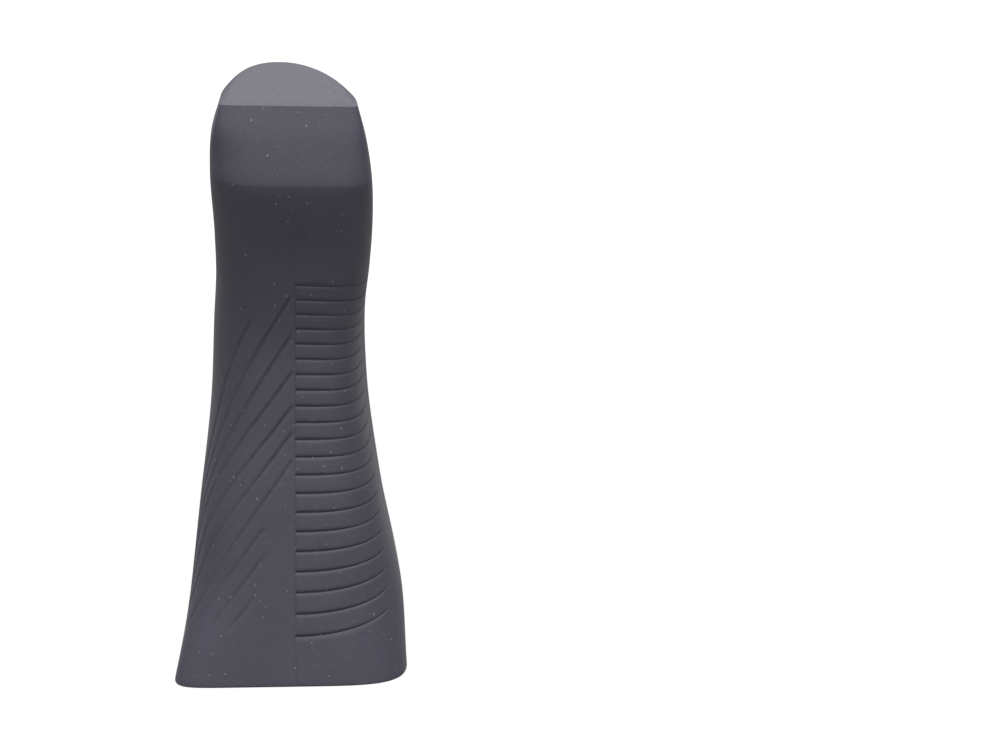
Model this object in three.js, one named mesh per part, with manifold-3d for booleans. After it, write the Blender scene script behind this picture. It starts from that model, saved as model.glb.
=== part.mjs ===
// A brake lever hood: one moulded rubber sleeve, closed at the horn, open at
// the base where the handlebar enters and at the lever side where the lever
// leaves. Millimetres, +Z up. The hood stands on its base rim, with its grip
// side towards -Y, its lever side towards +Y and its banded half on +X.
import * as THREE from 'three';
import { ParametricGeometry } from 'three/addons/geometries/ParametricGeometry.js';
import { mergeVertices } from 'three/addons/utils/BufferGeometryUtils.js';
import Module from 'manifold-3d';

const wasm = await Module();
wasm.setup();

// Main sizes: up to the lever edge of the top facet, across the base rim, and
// from the grip side to the lever side of the base rim.
const HEIGHT = 106.3;
const WIDTH = 43;
const DEPTH = 44.3;

// Walls of the sleeve.
const WALL = 2.2;
const HORN_WALL = 3.0;

// Sections of the sleeve, from the base to the horn, in percent of the main
// sizes. Each has the height and the depth of its grip edge and of its lever
// edge, and its half widths left and right of the mould line. The last fields
// are plain numbers: waist is where the section is widest, as a share of its
// depth, taper narrows the grip edge, and a corner of 2 is an ellipse's and a
// higher one is squarer. skew moves the lever edge sideways. At the crease the
// horn's back face meets its overhang.
const SECTIONS = [
  { gripZ: 0, gripY: -54.9, leverZ: 0, leverY: 45.1, left: 45.5, right: 45.8,
    waist: 0.45, taperLeft: -0.16, taperRight: -0.12, skew: 0,
    cornerLeft: 10, cornerRight: 4.4, cornerLever: 2.6 },
  { gripZ: 11.3, gripY: -46.3, leverZ: 11.3, leverY: 45.1, left: 44.4, right: 46.3,
    waist: 0.45, taperLeft: -0.05, taperRight: -0.04, skew: 0,
    cornerLeft: 5, cornerRight: 3.2, cornerLever: 3 },
  { gripZ: 28.2, gripY: -36.1, leverZ: 28.2, leverY: 46.3, left: 40.4, right: 37.4,
    waist: 0.5, taperLeft: -0.03, taperRight: 0.04, skew: 0,
    cornerLeft: 3.6, cornerRight: 3.6, cornerLever: 4 },
  { gripZ: 45.2, gripY: -27.1, leverZ: 45.2, leverY: 48.5, left: 36.2, right: 30.4,
    waist: 0.5, taperLeft: 0.02, taperRight: 0.12, skew: 0,
    cornerLeft: 3, cornerRight: 4.2, cornerLever: 4.4 },
  { gripZ: 58.3, gripY: -23.7, leverZ: 59.3, leverY: 48.5, left: 34.8, right: 29.2,
    waist: 0.5, taperLeft: 0.02, taperRight: 0.14, skew: 0,
    cornerLeft: 3, cornerRight: 4.2, cornerLever: 4.2 },
  { gripZ: 65.9, gripY: -26.4, leverZ: 67.7, leverY: 46.9, left: 33.6, right: 31.5,
    waist: 0.48, taperLeft: 0.01, taperRight: 0.1, skew: -0.2,
    cornerLeft: 3.1, cornerRight: 4, cornerLever: 3.8 },
  { gripZ: 73.4, gripY: -31.6, leverZ: 76.2, leverY: 44, left: 33.6, right: 32.7,
    waist: 0.45, taperLeft: 0, taperRight: 0.06, skew: -0.7,
    cornerLeft: 3.4, cornerRight: 4, cornerLever: 3.4 },
  { gripZ: 85.4, gripY: -44, leverZ: 89.8, leverY: 37.2, left: 34.4, right: 31,
    waist: 0.35, taperLeft: 0, taperRight: 0, skew: -2.3,
    cornerLeft: 4, cornerRight: 5.5, cornerLever: 2.5, atCrease: true },
  { gripZ: 91.7, gripY: -41.3, leverZ: 95.2, leverY: 30.7, left: 33.6, right: 28.6,
    waist: 0.23, taperLeft: 0, taperRight: 0, skew: -3.9,
    cornerLeft: 5, cornerRight: 7, cornerLever: 2.3 },
  { gripZ: 97.8, gripY: -36.1, leverZ: 100, leverY: 23.5, left: 30, right: 24.8,
    waist: 0.1, taperLeft: 0, taperRight: 0, skew: -6.6,
    cornerLeft: 12, cornerRight: 12, cornerLever: 2.1 },
];

// The crease stands proud of the sections' smooth curve.
const CREASE_RISE = 0.35;
const CREASE_REACH = 5;

// Steps of the outer skin and of the cavity: round a section, from the base to
// the crease, and from the crease to the top.
const ROUND_STEPS = 40;
const LOWER_STEPS = 22;
const UPPER_STEPS = 4;
const CAVITY_ROUND_STEPS = 32;
const CAVITY_LOWER_STEPS = 12;
const CAVITY_UPPER_STEPS = 3;

// The top facet rises past its rim by this much at the ridge and at the nose,
// and in between by a power of the way to the nose.
// Each row of it has a share of the way out from its middle and of that rise,
// so that the nose goes on from the wall in a round and the ridge is crisp.
const RIDGE_RISE = 0.3;
const NOSE_RISE = 2.7;
const NOSE_POWER = 1.2;
const FACET_ROWS = [
  { out: 0.95, rise: 0.44 }, { out: 0.88, rise: 0.84 }, { out: 0.78, rise: 1 },
  { out: 0.4, rise: 1 }, { out: 0, rise: 1 },
];

// The lever opening, seen from the lever side: x in percent of the width and
// height in percent of the height.
const OPENING_OUTLINE = [
  [-23.7, 92.2], [-20, 94.6], [-4.7, 95.2], [9.8, 94.6], [14, 92.2], [17.7, 85.6],
  [22.3, 75.3], [25.6, 62.1], [27, 50.8], [23.7, 43.3], [15.1, 37.6], [3.5, 35.7],
  [-9.3, 37.1], [-22.1, 41.4], [-27.9, 48.9], [-28.6, 62.1], [-27, 77.1],
];
const OUTLINE_POINTS = 44;
// The opening reaches in from the lever side as far as this line, seen from
// the side: depth and height, in percent.
const OPENING_REACH = [[37.2, 26.3], [37.2, 67.7], [29.3, 80.9], [13.5, 90.3], [2.3, 99.7]];
// A raised lip runs round the opening and reaches further in.
const LIP_WIDTH = 2.6;
const LIP_RAISE = 0.6;
const LIP_REACH = 3;
// Half length of the cutting blocks, well past the hood.
const CLEAR = 30;

// Bands: grooves across the right half of the grip side, from the mould line
// round the side. The first are evenly spaced, the others spread out. The
// high ones turn down a little towards their ends. The lowest end sooner, and
// turn up.
const BAND_TOP = 71.6;
const BAND_PITCH = 2.78;
const BAND_SPREAD = 0.08;
const BAND_EVEN_COUNT = 7;
const BAND_FLOOR = 8;
const BAND_LOW_FROM = 38;
const BAND_END = -6;
const BAND_LOW_END = -42;
const BAND_LOW_RISE = 3.6;
const BAND_HIGH_DROP = 2.6;
const BAND_STEPS = 10;

// Slants: grooves that fall from the mould line down round the left side.
// Each has how far below the first band its line meets the mould line, how far
// from that line it starts, and its slope in degrees.
const SLANTS = [
  { below: -6.6, start: 7.3, slope: 60 }, { below: 1, start: 0, slope: 60 },
  { below: 8.5, start: 0, slope: 58 }, { below: 15.7, start: 0, slope: 54 },
  { below: 21.8, start: 0, slope: 53 }, { below: 26.4, start: 0, slope: 54 },
  { below: 31.3, start: 0, slope: 56 }, { below: 36.6, start: 5, slope: 54 },
  { below: 41.4, start: 4.8, slope: 54 }, { below: 46.3, start: 7, slope: 54 },
];
const SLANT_SIDE_SLOPE = 80;
const SLANT_TURN_FROM = -110;
const SLANT_TURN_TO = -170;
const SLANT_FLOOR = 10.5;
const GROOVE_RADIUS = 0.42;
const GROOVE_SIDES = 4;
const GROOVE_STEP = 3.2;

// Angles round a section, in degrees: the mould line down the middle of the
// grip side, and the middle of the lever side.
const MOULD_LINE = -90;
const LEVER_MIDDLE = 90;

const degrees = THREE.MathUtils.degToRad;

// The sections in millimetres.
const mainSize = {
  gripZ: HEIGHT, leverZ: HEIGHT, gripY: DEPTH, leverY: DEPTH, left: WIDTH, right: WIDTH, skew: WIDTH,
};
const sections = SECTIONS.map((row) => {
  const section = { ...row };
  for (const [field, size] of Object.entries(mainSize)) section[field] = (row[field] * size) / 100;
  return section;
});
const crease = sections.find((section) => section.atCrease).gripZ;
const ridge = sections.at(-1).gripZ;

// Value of one field of the sections at a height on the grip edge, on a
// smooth curve through the sections.
function sectionValue(field, height) {
  const last = sections.length - 1;
  let i = 0;
  while (i < last - 1 && height > sections[i + 1].gripZ) i += 1;
  const span = (k) => sections[k + 1].gripZ - sections[k].gripZ;
  const slope = (k) => (sections[k + 1][field] - sections[k][field]) / span(k);
  const tangent = (k) => {
    if (k === 0) return slope(0);
    if (k === last) return slope(last - 1);
    return (slope(k - 1) * span(k) + slope(k) * span(k - 1)) / (span(k - 1) + span(k));
  };
  const t = THREE.MathUtils.clamp((height - sections[i].gripZ) / span(i), 0, 1);
  const t2 = t * t;
  const t3 = t2 * t;
  return (2 * t3 - 3 * t2 + 1) * sections[i][field]
    + (t3 - 2 * t2 + t) * span(i) * tangent(i)
    + (3 * t2 - 2 * t3) * sections[i + 1][field]
    + (t3 - t2) * span(i) * tangent(i + 1);
}

function creaseRise(height) {
  const near = Math.max(0, 1 - Math.abs(height - crease) / CREASE_REACH);
  return CREASE_RISE * near * near;
}

// Point of the skin at an angle round the section and a height on the grip
// edge. inset moves it into the wall.
function skinPoint(angle, height, inset, target) {
  const value = (field) => sectionValue(field, height);
  const across = Math.cos(angle);
  const along = Math.sin(angle);
  const onLeft = across < 0;
  let corner = value('cornerLever');
  if (along < 0) corner = value(onLeft ? 'cornerLeft' : 'cornerRight');
  const reach = (Math.abs(across) ** corner + Math.abs(along) ** corner) ** (-1 / corner);
  const x = reach * across;
  const y = reach * along;
  const half = value(onLeft ? 'left' : 'right') - inset;
  const taper = value(onLeft ? 'taperLeft' : 'taperRight');
  const grip = value('gripY') - creaseRise(height);
  const lever = value('leverY');
  const middle = grip + inset + value('waist') * (lever - grip - 2 * inset);
  const depth = y < 0 ? middle - grip - inset : lever - inset - middle;
  const share = (middle + depth * y - grip) / (lever - grip);
  const rise = value('leverZ') - value('gripZ');
  return target.set(
    half * x * (1 + taper * y) + value('skew') * share ** 2,
    middle + depth * y,
    value('gripZ') + rise * share,
  );
}

// Point of the top facet or of a flat end: out of 1 is its rim, 0 its middle.
function facetPoint(angle, height, inset, { out, rise }, target) {
  const middle = skinPoint(degrees(LEVER_MIDDLE), height, inset, new THREE.Vector3());
  skinPoint(degrees(MOULD_LINE), height, inset, target);
  middle.add(target).multiplyScalar(0.5);
  skinPoint(angle, height, inset, target);
  target.lerpVectors(middle, target, out);
  const grip = sectionValue('gripY', height);
  const share = (target.y - grip) / (sectionValue('leverY', height) - grip);
  const towardsNose = THREE.MathUtils.clamp(share, 0, 1) ** NOSE_POWER;
  target.z += rise * THREE.MathUtils.lerp(RIDGE_RISE, NOSE_RISE, towardsNose);
  return target;
}

// Closed skin from the base to height top, its floor lowered by drop.
function skin({ top, inset, drop, round, lower, upper, facet }) {
  const sides = lower + upper;
  const place = (u, v, target) => {
    const row = Math.round(v * (sides + facet.length + 1)) - 1;
    const angle = degrees(360 * u + MOULD_LINE);
    if (row < 0) {
      facetPoint(angle, 0, inset, { out: 0, rise: 0 }, target);
    } else if (row > sides) {
      facetPoint(angle, top, inset, facet[row - sides - 1], target);
    } else {
      const low = Math.min(1, row / lower);
      const high = Math.max(0, (row - lower) / upper);
      skinPoint(angle, crease * low + (top - crease) * high, inset, target);
    }
    if (row <= 0) target.z -= drop;
  };
  return new ParametricGeometry(place, round, sides + facet.length + 1);
}

// A solid for joining and cutting, from a closed geometry.
function solid(geometry) {
  const bare = geometry.clone();
  bare.deleteAttribute('normal');
  bare.deleteAttribute('uv');
  const merged = mergeVertices(bare, 1e-4);
  const index = merged.index.array;
  const kept = [];
  for (let i = 0; i < index.length; i += 3) {
    const [a, b, c] = [index[i], index[i + 1], index[i + 2]];
    if (a !== b && b !== c && c !== a) kept.push(a, b, c);
  }
  return new wasm.Manifold(new wasm.Mesh({
    numProp: 3,
    vertProperties: new Float32Array(merged.attributes.position.array),
    triVerts: new Uint32Array(kept),
  }));
}

// The opening's outline, moved outwards by grow.
function openingShape(grow) {
  const corners = OPENING_OUTLINE.map(
    ([x, z]) => new THREE.Vector3((x * WIDTH) / 100, (z * HEIGHT) / 100, 0),
  );
  const curve = new THREE.CatmullRomCurve3(corners, true, 'centripetal');
  const points = [];
  for (let i = 0; i < OUTLINE_POINTS; i += 1) {
    const t = i / OUTLINE_POINTS;
    const at = curve.getPointAt(t);
    const tangent = curve.getTangentAt(t);
    points.push(new THREE.Vector2(at.x - tangent.y * grow, at.y + tangent.x * grow));
  }
  return new THREE.Shape(points);
}

// All that the opening's outline covers from the reach line outwards.
function openingBlock(grow, further) {
  const length = { depth: 2 * CLEAR, bevelEnabled: false };
  const through = new THREE.ExtrudeGeometry(openingShape(grow), length);
  through.rotateX(Math.PI / 2);
  through.translate(0, 2 * CLEAR - further, 0);
  const reach = OPENING_REACH.map(
    ([y, z]) => new THREE.Vector2((y * DEPTH) / 100 - further, (z * HEIGHT) / 100),
  );
  reach.push(new THREE.Vector2(2 * CLEAR, reach.at(-1).y));
  reach.push(new THREE.Vector2(2 * CLEAR, reach[0].y));
  const sideways = new THREE.ExtrudeGeometry(new THREE.Shape(reach), length);
  sideways.rotateX(Math.PI / 2);
  sideways.rotateZ(Math.PI / 2);
  sideways.translate(-CLEAR, 0, 0);
  return solid(through).intersect(solid(sideways));
}

// A groove cutter: a thin bar along points on the skin.
function grooveCutter(points) {
  const section = new THREE.Shape();
  for (let i = 0; i < GROOVE_SIDES; i += 1) {
    const turn = (2 * Math.PI * i) / GROOVE_SIDES;
    const [x, y] = [GROOVE_RADIUS * Math.cos(turn), GROOVE_RADIUS * Math.sin(turn)];
    if (i === 0) section.moveTo(x, y);
    else section.lineTo(x, y);
  }
  const path = new THREE.CatmullRomCurve3(points);
  const steps = Math.max(2, Math.round(path.getLength() / GROOVE_STEP));
  return solid(new THREE.ExtrudeGeometry(section, { steps, extrudePath: path, bevelEnabled: false }));
}

// Heights of the bands on the mould line.
function bandHeights() {
  const heights = [];
  let height = BAND_TOP;
  while (height > BAND_FLOOR) {
    heights.push(height);
    const spread = Math.max(0, heights.length - BAND_EVEN_COUNT);
    height -= BAND_PITCH + BAND_SPREAD * spread;
  }
  return heights;
}

// A band runs from the mould line round the right side.
function bandPoints(height) {
  const low = Math.max(0, (BAND_LOW_FROM - height) / (BAND_LOW_FROM - BAND_FLOOR));
  const high = Math.max(0, (height - BAND_LOW_FROM) / (BAND_TOP - BAND_LOW_FROM));
  const end = THREE.MathUtils.lerp(BAND_END, BAND_LOW_END, low ** 0.5);
  const points = [];
  for (let k = 0; k <= BAND_STEPS; k += 1) {
    const along = k / BAND_STEPS;
    const angle = THREE.MathUtils.lerp(MOULD_LINE, end, along);
    const level = height + (BAND_LOW_RISE * low - BAND_HIGH_DROP * high) * along * along;
    points.push(skinPoint(degrees(angle), level, 0, new THREE.Vector3()));
  }
  return points;
}

// A slant walks down the skin from the mould line, steeper as it goes round.
function slantPoints({ below, start, slope }) {
  const points = [];
  const nudge = 0.01;
  const at = new THREE.Vector3();
  const beside = new THREE.Vector3();
  let angle = degrees(MOULD_LINE);
  let level = BAND_TOP - below;
  while (level > SLANT_FLOOR) {
    skinPoint(angle, level, 0, at);
    if (Math.abs(at.x) >= start) points.push(at.clone());
    skinPoint(angle - nudge, level, 0, beside);
    const speed = Math.hypot(beside.x - at.x, beside.y - at.y) / nudge;
    const round = THREE.MathUtils.smoothstep(-angle, degrees(-SLANT_TURN_FROM), degrees(-SLANT_TURN_TO));
    const steep = degrees(THREE.MathUtils.lerp(slope, SLANT_SIDE_SLOPE, round));
    angle -= (Math.cos(steep) * GROOVE_STEP) / speed;
    level -= Math.sin(steep) * GROOVE_STEP;
  }
  return points;
}

const outside = {
  top: ridge, inset: 0, drop: 0, facet: FACET_ROWS,
  round: ROUND_STEPS, lower: LOWER_STEPS, upper: UPPER_STEPS,
};
const inside = {
  top: ridge - HORN_WALL, inset: WALL, drop: WALL, facet: [{ out: 0, rise: 0 }],
  round: CAVITY_ROUND_STEPS, lower: CAVITY_LOWER_STEPS, upper: CAVITY_UPPER_STEPS,
};
const raised = solid(skin({ ...outside, inset: -LIP_RAISE }));
let hood = solid(skin(outside)).add(raised.intersect(openingBlock(LIP_WIDTH, LIP_REACH)));
hood = hood.subtract(solid(skin(inside))).subtract(openingBlock(0, 0));
for (const height of bandHeights()) hood = hood.subtract(grooveCutter(bandPoints(height)));
for (const slant of SLANTS) hood = hood.subtract(grooveCutter(slantPoints(slant)));

const mesh = hood.getMesh();
const geometry = new THREE.BufferGeometry();
geometry.setAttribute('position', new THREE.BufferAttribute(new Float32Array(mesh.vertProperties), 3));
geometry.setIndex(new THREE.BufferAttribute(new Uint32Array(mesh.triVerts), 1));
geometry.computeVertexNormals();
geometry.computeBoundingBox();
const centre = geometry.boundingBox.getCenter(new THREE.Vector3());

const rubber = new THREE.MeshStandardMaterial({ color: 0x4b4a54, roughness: 0.72, metalness: 0 });
const rubberHood = new THREE.Mesh(geometry, rubber);
rubberHood.name = 'rubber_hood';
rubberHood.position.set(-centre.x, -centre.y, 0);

const part = new THREE.Group();
part.add(rubberHood);
export default part;
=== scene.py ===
# %% [markdown]
# A brake lever hood is one moulded rubber sleeve. It is stretched over the
# body of a brake lever, so it is open at its base, where the handlebar comes
# in, and at its lever side, where the lever goes out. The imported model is
# loaded first and stays as it is. Everything below is made round it.

# %% Load the frame
import math

import bpy
import numpy as np
from mathutils import Matrix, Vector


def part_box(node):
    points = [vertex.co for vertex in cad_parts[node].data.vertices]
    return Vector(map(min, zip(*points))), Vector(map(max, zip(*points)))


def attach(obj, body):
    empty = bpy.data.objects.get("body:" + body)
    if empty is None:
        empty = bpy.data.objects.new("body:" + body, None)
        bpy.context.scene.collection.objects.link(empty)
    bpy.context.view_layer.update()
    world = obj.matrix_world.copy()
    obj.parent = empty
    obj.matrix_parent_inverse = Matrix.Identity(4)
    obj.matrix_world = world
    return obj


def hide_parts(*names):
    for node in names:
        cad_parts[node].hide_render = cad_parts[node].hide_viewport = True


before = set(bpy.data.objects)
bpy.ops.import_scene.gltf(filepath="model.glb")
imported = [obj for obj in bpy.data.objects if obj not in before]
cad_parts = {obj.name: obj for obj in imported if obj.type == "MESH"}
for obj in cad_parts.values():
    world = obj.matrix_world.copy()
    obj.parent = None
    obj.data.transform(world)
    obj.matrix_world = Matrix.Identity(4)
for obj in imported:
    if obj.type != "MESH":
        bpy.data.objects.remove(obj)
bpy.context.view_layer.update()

# %% [markdown]
# The sleeve's form is a stack of rounded sections, from the base to the horn.
# It could be sculpted or boxed out under a Subdivision modifier, but then its
# grooves would have no even lines to follow. So the form is a formula of two
# parameters, an angle round the section and a height on the grip edge, and
# every groove is a dent in it. The sections are the ones that the solid has.

# %% Sections of the sleeve
MM = 0.001
HEIGHT = 106.3
WIDTH = 43.0
DEPTH = 44.3
# Each field has the size that its numbers are percent of, and the last ones are
# plain numbers.
SECTION_FIELDS = {
    "grip_z": HEIGHT, "grip_y": DEPTH, "lever_z": HEIGHT, "lever_y": DEPTH, "left": WIDTH, "right": WIDTH,
    "skew": WIDTH, "waist": 100, "taper_left": 100, "taper_right": 100,
    "corner_left": 100, "corner_right": 100, "corner_lever": 100,
}
SECTION_ROWS = np.array([
    (0, -54.9, 0, 45.1, 45.5, 45.8, 0, 0.45, -0.16, -0.12, 10, 4.4, 2.6),
    (11.3, -46.3, 11.3, 45.1, 44.4, 46.3, 0, 0.45, -0.05, -0.04, 5, 3.2, 3),
    (28.2, -36.1, 28.2, 46.3, 40.4, 37.4, 0, 0.5, -0.03, 0.04, 3.6, 3.6, 4),
    (45.2, -27.1, 45.2, 48.5, 36.2, 30.4, 0, 0.5, 0.02, 0.12, 3, 4.2, 4.4),
    (58.3, -23.7, 59.3, 48.5, 34.8, 29.2, 0, 0.5, 0.02, 0.14, 3, 4.2, 4.2),
    (65.9, -26.4, 67.7, 46.9, 33.6, 31.5, -0.2, 0.48, 0.01, 0.1, 3.1, 4, 3.8),
    (73.4, -31.6, 76.2, 44, 33.6, 32.7, -0.7, 0.45, 0, 0.06, 3.4, 4, 3.4),
    (85.4, -44, 89.8, 37.2, 34.4, 31, -2.3, 0.35, 0, 0, 4, 5.5, 2.5),
    (91.7, -41.3, 95.2, 30.7, 33.6, 28.6, -3.9, 0.23, 0, 0, 5, 7, 2.3),
    (97.8, -36.1, 100, 23.5, 30, 24.8, -6.6, 0.1, 0, 0, 12, 12, 2.1),
], float)
SECTION = {
    name: SECTION_ROWS[:, i] * whole / 100 for i, (name, whole) in enumerate(SECTION_FIELDS.items())
}
LEVELS = SECTION["grip_z"]
CREASE = LEVELS[-3]
RIDGE = LEVELS[-1]
WALL = 2.2
HORN_WALL = 3.0
CREASE_RISE = 0.35
CREASE_REACH = 5.0
GRIP_MIDDLE = math.radians(-90)
LEVER_MIDDLE = math.radians(90)


def cubic(t, start, start_slope, end, end_slope):
    """A cubic from start at t = 0 to end at t = 1, with a given slope at each of them."""
    return (
        (2 * t**3 - 3 * t**2 + 1) * start + (t**3 - 2 * t**2 + t) * start_slope
        + (3 * t**2 - 2 * t**3) * end + (t**3 - t**2) * end_slope
    )


def section_value(field, height):
    """One field at heights, on a cubic through the sections. At a section the
    slope is the mean of the slopes beside it, each weighted by the other's span."""
    values = SECTION[field]
    spans = np.diff(LEVELS)
    slopes = np.diff(values) / spans
    tangents = np.empty_like(values)
    tangents[0] = slopes[0]
    tangents[-1] = slopes[-1]
    tangents[1:-1] = (slopes[:-1] * spans[1:] + slopes[1:] * spans[:-1]) / (spans[:-1] + spans[1:])
    i = np.clip(np.searchsorted(LEVELS, height) - 1, 0, len(spans) - 1)
    t = np.clip((height - LEVELS[i]) / spans[i], 0, 1)
    return cubic(t, values[i], spans[i] * tangents[i], values[i + 1], spans[i] * tangents[i + 1])


def skin(angle, height, inset=0.0):
    """Points of the sleeve in millimetres. Round a section the point follows a
    superellipse, whose exponent says how square each corner is. Its depth is
    measured from the widest place, and its height rises from the grip edge to
    the lever edge. inset moves it into the wall."""
    angle, height, inset = np.broadcast_arrays(angle, height, inset)
    across = np.cos(angle)
    along = np.sin(angle)
    on_left = across < 0
    corner = np.where(on_left, section_value("corner_left", height), section_value("corner_right", height))
    corner = np.where(along < 0, corner, section_value("corner_lever", height))
    reach = (np.abs(across) ** corner + np.abs(along) ** corner) ** (-1 / corner)
    x = reach * across
    y = reach * along
    half = np.where(on_left, section_value("left", height), section_value("right", height)) - inset
    taper = np.where(on_left, section_value("taper_left", height), section_value("taper_right", height))
    near_crease = np.clip(1 - np.abs(height - CREASE) / CREASE_REACH, 0, None)
    grip = section_value("grip_y", height) - CREASE_RISE * near_crease**2
    lever = section_value("lever_y", height)
    middle = grip + inset + section_value("waist", height) * (lever - grip - 2 * inset)
    depth = np.where(y < 0, middle - grip - inset, lever - inset - middle)
    share = (middle + depth * y - grip) / (lever - grip)
    low = section_value("grip_z", height)
    return np.stack([
        half * x * (1 + taper * y) + section_value("skew", height) * share**2,
        middle + depth * y,
        low + (section_value("lever_z", height) - low) * share,
    ], axis=-1)


def slopes_of(angle, height, inset=0.0):
    """How the skin's point moves with its angle and with its height, by central differences."""
    step = 1e-3
    by_angle = (skin(angle + step, height, inset) - skin(angle - step, height, inset)) / (2 * step)
    above = np.minimum(height + step, RIDGE)
    below = np.maximum(height - step, 0)
    by_height = (skin(angle, above, inset) - skin(angle, below, inset)) / (above - below)[..., None]
    return by_angle, by_height


def unit(vectors):
    """The vectors at length one."""
    return vectors / np.linalg.norm(vectors, axis=-1, keepdims=True)


def outward(angle, height):
    """Unit vectors that leave the skin at right angles: the cross product of its two slopes."""
    by_angle, by_height = slopes_of(*np.broadcast_arrays(angle, height))
    return unit(np.cross(by_angle, by_height))


print("the sleeve has", len(LEVELS), "sections over", round(RIDGE, 1), "mm")

# %% [markdown]
# The columns of the mesh are chosen by their distance round the grip, and not
# by angle, so that they lie closest where a groove crosses them at a slant.
# The mould line, where the two halves of the mould met, has columns of its own.

# %% Columns round the section
REFERENCE = 40.0
BLOCK_SIDES = np.radians([8.0, 172.0])
MOULD_COLUMNS = np.array([0.0, 0.08, 0.18, 0.3])
RIGHT_STEP = 0.62
LEVER_STEP = 1.2
LEFT_SIDE_STEP = 0.34
LEFT_GRIP_STEP = 0.28
LEFT_TURN = math.radians(205)
FINE_COUNT = 8001

fine_angles = np.linspace(GRIP_MIDDLE, GRIP_MIDDLE + 2 * math.pi, FINE_COUNT)
fine_points = skin(fine_angles, REFERENCE)
fine_lengths = np.append(0, np.cumsum(np.linalg.norm(np.diff(fine_points, axis=0), axis=1)))
girth = fine_lengths[-1]


def evenly(start, end, step):
    """Places from start to just before end, spaced by about step."""
    return np.linspace(start, end, max(1, round(abs(end - start) / step)), endpoint=False)


def round_at(angle):
    """Distance round the reference section from the mould line to an angle."""
    return np.interp(angle, fine_angles, fine_lengths)


def nearest(values, wanted):
    """Where in values the one nearest to each wanted number is."""
    return [int(np.argmin(np.abs(values - number))) for number in wanted]


column_places = np.concatenate([
    MOULD_COLUMNS[:-1],
    evenly(MOULD_COLUMNS[-1], round_at(BLOCK_SIDES[0]), RIGHT_STEP),
    evenly(round_at(BLOCK_SIDES[0]), round_at(BLOCK_SIDES[1]), LEVER_STEP),
    evenly(round_at(BLOCK_SIDES[1]), round_at(LEFT_TURN), LEFT_SIDE_STEP),
    evenly(round_at(LEFT_TURN), girth - MOULD_COLUMNS[-1], LEFT_GRIP_STEP),
    girth - MOULD_COLUMNS[:0:-1],
])
column_angles = np.interp(column_places, fine_lengths, fine_angles)
print(len(column_angles), "columns over", round(girth, 1), "mm")

# %% [markdown]
# The right half of the grip has level bands, cut by narrow grooves that start
# at the mould line and wrap the side. The upper ones are evenly spaced and the
# lowest spread out. The left half has grooves that fall at a slant from the
# mould line and steepen as they go round. Both are real dents: their shadows
# and their notches in the outline come from the mesh, not from a texture.

# %% Where the grooves run
BAND_COUNT = 21
BAND_TOP = 71.6
BAND_PITCH = 2.78
BAND_SPREAD = 0.08
BAND_EVEN_COUNT = 7
BAND_FLOOR = 8.0
BAND_LOW_FROM = 38.0
BAND_END = math.radians(-6)
BAND_LOW_END = math.radians(-42)
BAND_LOW_RISE = 3.6
BAND_HIGH_DROP = 2.6

band_pitches = BAND_PITCH + BAND_SPREAD * np.clip(np.arange(1, BAND_COUNT) - BAND_EVEN_COUNT, 0, None)
band_heights = BAND_TOP - np.append(0, np.cumsum(band_pitches))


def band_end(height):
    """Angle where a band ends: the lower the band, the sooner, by a square root."""
    low = np.clip((BAND_LOW_FROM - height) / (BAND_LOW_FROM - BAND_FLOOR), 0, None)
    return BAND_END + (BAND_LOW_END - BAND_END) * np.sqrt(low)


SLANT_HEIGHTS = np.array([78.2, 70.6, 63.1, 55.9, 49.8, 45.2, 40.3, 35, 30.2, 25.3])
SLANT_STARTS = np.array([7.3, 0, 0, 0, 0, 0, 0, 5, 4.8, 7])
SLANT_SLOPES = np.radians([60.0, 60, 58, 54, 53, 54, 56, 54, 54, 54])
SLANT_SIDE_SLOPE = math.radians(80)
SLANT_TURN = np.radians([110.0, 170.0])
SLANT_FADE = 1.2
SLANT_FLOOR = (8.5, 12.0)
SLANT_LOWEST = -CREASE
SLANT_STEPS = 240
SLANT_SWEEP = math.radians(100)


def smooth_step(x, start, end):
    """0 before start, 1 after end, and an S curve between them."""
    t = np.clip((x - start) / (end - start), 0, 1)
    return t * t * (3 - 2 * t)


def slant_slope(turn, slope):
    """How steep a slant is at a turn from +X, the left way round: its own slope
    on the grip, and the side's slope further round."""
    return slope + (SLANT_SIDE_SLOPE - slope) * smooth_step(turn, *SLANT_TURN)


# Each slant is walked from the mould line in small turns. A turn moves it along
# the skin by the skin's own speed, and down by the tangent of its slope.
turns = np.linspace(-GRIP_MIDDLE, -GRIP_MIDDLE + SLANT_SWEEP, SLANT_STEPS)
slant_levels = np.empty((SLANT_STEPS, len(SLANT_HEIGHTS)))
slant_levels[0] = SLANT_HEIGHTS
for k in range(1, SLANT_STEPS):
    level = slant_levels[k - 1]
    speed = np.linalg.norm(slopes_of(np.full_like(level, -turns[k - 1]), level)[0][:, :2], axis=1)
    drop = np.tan(slant_slope(turns[k - 1], SLANT_SLOPES)) * speed * (turns[1] - turns[0])
    slant_levels[k] = np.clip(level - drop, SLANT_LOWEST, None)
print(BAND_COUNT, "bands down to", round(band_heights[-1], 2), "mm and", len(SLANT_HEIGHTS), "slants")

# %% Rows from the base to the ridge
BAND_ROWS = np.array([-0.34, -0.25, -0.12, 0, 0.12, 0.25, 0.34])
FILL_STEP = 0.4
PLAIN_STEP = 0.8
CREASE_STEP = 0.3
CREASE_BAND = 2.6
RIM_ROUND = 0.45
RIM_STEPS = 4
BLOCK_LOW = 20.0
BLOCK_HIGH = RIDGE - 1
RIDGE_ROWS = np.array([1.0, 0.6, 0.3, 0.1, 0])

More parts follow.
